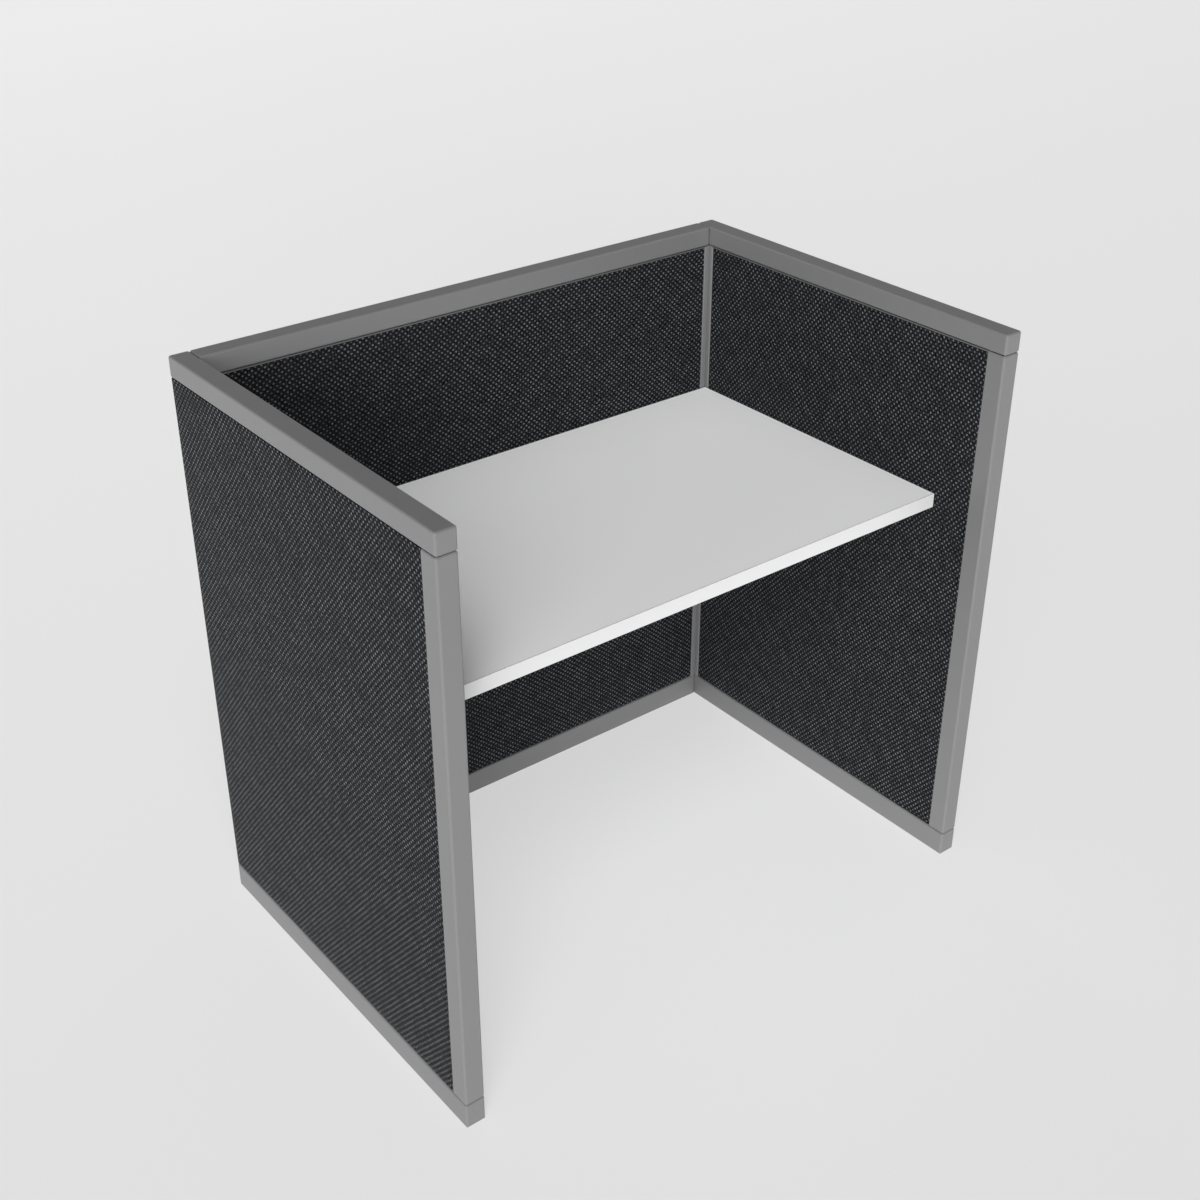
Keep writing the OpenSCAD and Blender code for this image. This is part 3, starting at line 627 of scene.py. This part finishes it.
def round_trim(name, plain_side):
    """A trim's CAD channel, kept only where a round block of its size reaches."""
    low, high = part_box(name)
    proud = Vector((PROUD, PROUD, PROUD))
    low, high = low - proud, high + proud
    if name == "back_top_cap":
        seam = Vector((CAP_SEAM, 0.0, 0.0))
        low, high = low + seam, high - seam
    if plain_side:
        run = Vector(plain_side) * OPEN_RUN
        low, high = low + Vector([min(v, 0.0) for v in run]), high + Vector([max(v, 0.0) for v in run])
    block = round_block(low, high)
    channel = frame["nodes"][name].data.copy()
    weld(channel, WELD_CAD)
    rough = bpy.data.objects.new("rough_trim", channel)
    for holder in (block, rough):
        scene.collection.objects.link(holder)
    cut = rough.modifiers.new("round edges", "BOOLEAN")
    cut.operation = "INTERSECT"
    cut.solver = "EXACT"
    cut.object = block
    shaped = bpy.data.meshes.new_from_object(rough.evaluated_get(bpy.context.evaluated_depsgraph_get()))
    for holder in (block, rough):
        bpy.data.objects.remove(holder)
    weld(shaped, WELD_CUT)
    shaped.name = name + "_moulding"
    shaped.materials.clear()
    finished(name + "_moulding", shaped, trim_paint, "workstation", name)


for name, plain_side in PLAIN_SIDE.items():
    round_trim(name, plain_side)


# Stems of the levelling feet: a swivel flange, a collar for a spanner and the thread


FLANGE_R = 6.0 * MM
FLANGE_H = 2.6 * MM
SHANK_R = 4.0 * MM
TURNED_SIDES = 40
COLLAR_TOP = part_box("foot_nut_plates")[0].z - 0.2 * MM
COLLAR_H = 6.0 * MM
COLLAR_SIDES = 6
CHAMFER = 0.45 * MM
THREAD_PITCH = 1.25 * MM
THREAD_ROOT_R = 3.3 * MM
THREAD_CREST_R = 3.98 * MM
THREAD_SIDES = 24
ROWS_PER_TURN = 8
# Shares of a pitch that are root and the two flanks. The rest is crest
ROOT_SHARE, FLANK_SHARE = 0.14, 0.72


def ring(bm, centre, z, radii, start=0.0):
    """Points round an upright line, one to each radius."""
    angles = [start + math.tau * k / len(radii) for k in range(len(radii))]
    return [bm.verts.new((centre[X] + radius * math.cos(angle), centre[Y] + radius * math.sin(angle), z))
            for radius, angle in zip(radii, angles)]


def close_rings(bm, rings):
    """Faces between rings of points, and over the first and the last."""
    for below, above in zip(rings, rings[1:]):
        count = len(below)
        for k in range(count):
            after = (k + 1) % count
            bm.faces.new((below[k], below[after], above[after], above[k]))
    bm.faces.new(list(reversed(rings[0])))
    bm.faces.new(rings[-1])


def lathed(bm, centre, profile, sides, start=0.0):
    """A closed turned body about an upright line, from (height, radius) pairs going up."""
    close_rings(bm, [ring(bm, centre, z, [radius] * sides, start) for z, radius in profile])


def thread_radius(phase):
    """Radius of the thread over one pitch: a root, two flanks and a crest."""
    slope = min(max((abs(phase - 0.5) * 2 - ROOT_SHARE) / FLANK_SHARE, 0.0), 1.0)
    return THREAD_ROOT_R + (THREAD_CREST_R - THREAD_ROOT_R) * slope


def threaded_rod(bm, centre, low, high):
    """A thread that runs out in a chamfer at its top."""
    rows = round((high - low) / THREAD_PITCH * ROWS_PER_TURN)
    rings = []
    for row in range(rows + 1):
        z = low + (high - low) * row / rows
        chamfer_r = THREAD_ROOT_R + (high - z)
        radii = [min(thread_radius((z / THREAD_PITCH - k / THREAD_SIDES) % 1.0), chamfer_r)
                 for k in range(THREAD_SIDES)]
        rings.append(ring(bm, centre, z, radii))
    close_rings(bm, rings)


def foot_stem(name):
    """A levelling foot's stem, in the place of its CAD node."""
    low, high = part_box(name)
    centre = (low + high) / 2
    size = high - low
    foot, inside_collar = low.z, COLLAR_TOP - COLLAR_H / 2
    bm = bmesh.new()
    lathed(bm, centre, [
        (foot, FLANGE_R - CHAMFER), (foot + CHAMFER, FLANGE_R),
        (foot + FLANGE_H - CHAMFER, FLANGE_R), (foot + FLANGE_H, FLANGE_R - CHAMFER),
        (foot + FLANGE_H + CHAMFER, SHANK_R), (inside_collar, SHANK_R),
    ], TURNED_SIDES)
    # The collar's corners lie on the axis on which the CAD's collar is wider
    corner_r = max(size.x, size.y) / 2
    lathed(bm, centre, [
        (COLLAR_TOP - COLLAR_H, corner_r - 2 * CHAMFER), (COLLAR_TOP - COLLAR_H + CHAMFER, corner_r),
        (COLLAR_TOP - CHAMFER, corner_r), (COLLAR_TOP, corner_r - 2 * CHAMFER),
    ], COLLAR_SIDES, start=0.0 if size.x > size.y else math.pi / 2)
    threaded_rod(bm, centre, inside_collar, high.z)
    mesh = bpy.data.meshes.new(name + "_threaded")
    bm.to_mesh(mesh)
    bm.free()
    finished(name + "_threaded", mesh, zinc, name.replace("_foot", ""), name, smooth=True)


for name in [name for name in frame["nodes"] if name.endswith("_foot_stem")]:
    foot_stem(name)


# Small roundings of edges that the CAD leaves sharp, in millimetres


EDGE_ROUNDING = {
    "worktop_edge_bands": 0.5, "left_rear_strip": 0.4, "right_rear_strip": 0.4, "tile_strips": 0.3,
    "left_worktop_angle": 0.4, "right_worktop_angle": 0.4, "rear_worktop_angle": 0.4, "foot_nut_plates": 0.4,
    "angle_panel_screws": 0.35, "worktop_screws": 0.35, "base_rail_screws": 0.35,
}
EDGE_ROUNDING.update({name: 0.7 for name in frame["nodes"] if name.endswith("_foot_pad")})
ROUNDING_STEPS = 2
SHARP_ANGLE = math.radians(40)
for name, radius in EDGE_ROUNDING.items():
    rounding = frame["nodes"][name].modifiers.new("rounded edges", "BEVEL")
    rounding.width = radius * MM
    rounding.segments = ROUNDING_STEPS
    rounding.limit_method = "ANGLE"
    rounding.angle_limit = SHARP_ANGLE


# Finishes of the CAD pieces that stay


FINISH_OF = {
    "grey_trim": trim_paint, "dark_fabric": cloth, "tackable_board": fibreboard,
    "honeycomb_core": kraft_paper, "particle_board": chipboard, "white_laminate": laminate,
    "frame_steel": frame_paint, "zinc_steel": zinc, "foot_plastic": foot_nylon,
}
# Own paints: the thin strips and the edge bands darker, as painted shade, and the corner trims paler, as
# painted light
OWN_FINISH = {
    "worktop_edge_bands": darkened_band_plastic, "tile_strips": shaded_strip_paint,
    "left_corner_trim": lightened_corner_paint, "right_corner_trim": lightened_corner_paint,
}
slot_of = {part["node"]: part["material_slot"] for part in frame["record"]["subparts"]}
for name, piece in frame["nodes"].items():
    finish = OWN_FINISH.get(name, FINISH_OF[slot_of[name]])
    for holder in piece.material_slots:
        holder.material = finish


# Camera, lamps, backdrop and floor


# The photograph's camera, worked out from the object's straight edges. Lens and sensor are in millimetres
LENS = 49.93
SENSOR = 36.0
CAMERA_PLACE = (-1.5587, -1.9722, 2.0506)
PICTURE_RIGHT = (0.78562, -0.61871, 0.00054)
PICTURE_DOWN = (-0.31046, -0.39495, -0.86466)


def make_camera():
    camera = bpy.data.objects.new("camera", bpy.data.cameras.new("camera"))
    scene.collection.objects.link(camera)
    camera.data.lens = LENS
    camera.data.sensor_width = SENSOR
    right, down = Vector(PICTURE_RIGHT), Vector(PICTURE_DOWN)
    ahead = right.cross(down)
    turn = Matrix((right, -down, -ahead)).transposed()
    camera.matrix_world = Matrix.Translation(CAMERA_PLACE) @ turn.to_4x4()
    scene.camera = camera


# Wide lamps, each by the side it shines from: azimuth from +X towards +Y, height and spread in degrees
SUNS = {
    "low left sun": {"azimuth": 188, "height": 8, "spread": 24, "strength": 0.56},
    "low middle sun": {"azimuth": 220, "height": 8, "spread": 24, "strength": 0.4},
    "low front sun": {"azimuth": 236, "height": 8, "spread": 24, "strength": 1.28},
    "middle sun": {"azimuth": 220, "height": 28, "spread": 30, "strength": 0.85},
    "key sun": {"azimuth": 236, "height": 52, "spread": 28, "strength": 1.49},
    "top sun": {"azimuth": 236, "height": 90, "spread": 50, "strength": 0.26},
    "rear sun": {"azimuth": 75, "height": 5, "spread": 24, "strength": 0.8},
    "right sun": {"azimuth": 15, "height": 5, "spread": 24, "strength": 0.7},
}


def hang_sun(name, azimuth, height, spread, strength):
    """One lamp, which gives light but no highlight of its own disc."""
    light = bpy.data.lights.new(name, "SUN")
    light.energy = strength
    light.angle = math.radians(spread)
    holder = bpy.data.objects.new(name, light)
    scene.collection.objects.link(holder)
    turned, up = math.radians(azimuth), math.radians(height)
    towards = Vector((math.cos(turned) * math.cos(up), math.sin(turned) * math.cos(up), math.sin(up)))
    holder.rotation_euler = (-towards).to_track_quat("-Z", "Y").to_euler()
    holder.visible_glossy = False


def shown_rays(tree):
    """One for the rays that show the backdrop: camera, mirrored and refracted ones."""
    rays = put(tree, "LightPath").outputs
    mirrored = sums(tree, "MAXIMUM", rays["Is Glossy Ray"], rays["Is Transmission Ray"])
    return sums(tree, "MAXIMUM", rays["Is Camera Ray"], mirrored)


# Strengths of the world: its soft light, and what the camera sees at the horizon and overhead
SKY = {"soft": 0.0, "horizon": 0.76, "ceiling": 0.04}
# Heights between which the horizon turns to the ceiling
SKY_TURN = {"low": 0.02, "high": 0.5}


def make_world():
    """A pale horizon below a darker ceiling for the rays that show it, and soft light for the rest."""
    world = bpy.data.worlds.new("studio")
    scene.world = world
    world.use_nodes = True
    tree = world.node_tree
    tree.nodes.clear()
    height = put(tree, "SeparateXYZ", {"Vector": put(tree, "TexCoord").outputs["Generated"]}).outputs["Z"]
    shown = ramp(tree, height, to_low=SKY["horizon"], to_high=SKY["ceiling"], **SKY_TURN)
    level = between(tree, shown_rays(tree), SKY["soft"], shown)
    shader = put(tree, "Background", {"Color": grey(1.0), "Strength": level})
    out = tree.nodes.new("ShaderNodeOutputWorld")
    tree.links.new(shader.outputs[0], out.inputs["Surface"])


# The floor's reflectance and glow, for the light it gives back (bounce) and for the rays that show it.
# The shown glow slopes over the floor, per metre to the right and to the back. It stays between
# near and far of its middle level, and settles to that level between two distances
FLOOR = {"bounce": 0.75, "bounce glow": 0.63, "seen": 0.29, "glow": 0.541, "far": 0.09, "near": -0.03,
         "to the right": -0.0022, "to the back": 0.0114}
FLOOR_SETTLES = {"low": 13.0, "high": 30.0}
FLOOR_RADIUS = 60.0
FLOOR_SIDES = 128
FLOOR_DROP = 0.2 * MM


def floor_glow(tree):
    """The glow of the floor as it is shown, by the place on it."""
    position = put(tree, "NewGeometry").outputs["Position"]
    place = put(tree, "SeparateXYZ", {"Vector": position}).outputs
    glow = sums(tree, "MULTIPLY_ADD", place["X"], FLOOR["to the right"], FLOOR["glow"])
    glow = sums(tree, "MULTIPLY_ADD", place["Y"], FLOOR["to the back"], glow)
    glow = sums(tree, "MINIMUM", glow, FLOOR["glow"] + FLOOR["far"])
    glow = sums(tree, "MAXIMUM", glow, FLOOR["glow"] + FLOOR["near"])
    away = vectors(tree, "LENGTH", position, result="Value")
    return between(tree, ramp(tree, away, **FLOOR_SETTLES), glow, FLOOR["glow"])


def make_floor_finish():
    """Pale and matt from above, and clear from below."""
    made = bpy.data.materials.new("pale studio floor")
    made.use_nodes = True
    tree = made.node_tree
    tree.nodes.clear()
    seen = shown_rays(tree)
    matt = put(tree, "BsdfDiffuse", {"Color": between(tree, seen, FLOOR["bounce"], FLOOR["seen"])})
    strength = between(tree, seen, FLOOR["bounce glow"], floor_glow(tree))
    glow = put(tree, "Emission", {"Color": grey(1.0), "Strength": strength})
    top = put(tree, "AddShader", {0: matt.outputs[0], 1: glow.outputs[0]})
    clear = put(tree, "BsdfTransparent")
    under = put(tree, "NewGeometry").outputs["Backfacing"]
    surface = put(tree, "MixShader", {0: under, 1: top.outputs[0], 2: clear.outputs[0]})
    out = tree.nodes.new("ShaderNodeOutputMaterial")
    tree.links.new(surface.outputs[0], out.inputs["Surface"])
    return made


def make_floor():
    """A round floor, so wide that its edge is lost in the horizon from every side."""
    mesh = bpy.data.meshes.new("studio_floor")
    bm = bmesh.new()
    bmesh.ops.create_circle(bm, cap_ends=True, segments=FLOOR_SIDES, radius=FLOOR_RADIUS,
                            matrix=Matrix.Translation((0.0, 0.0, -FLOOR_DROP)))
    bm.to_mesh(mesh)
    bm.free()
    mesh.materials.append(make_floor_finish())
    floor = bpy.data.objects.new("studio_floor", mesh)
    scene.collection.objects.link(floor)


make_camera()
for name, sun in SUNS.items():
    hang_sun(name, **sun)
make_world()
make_floor()
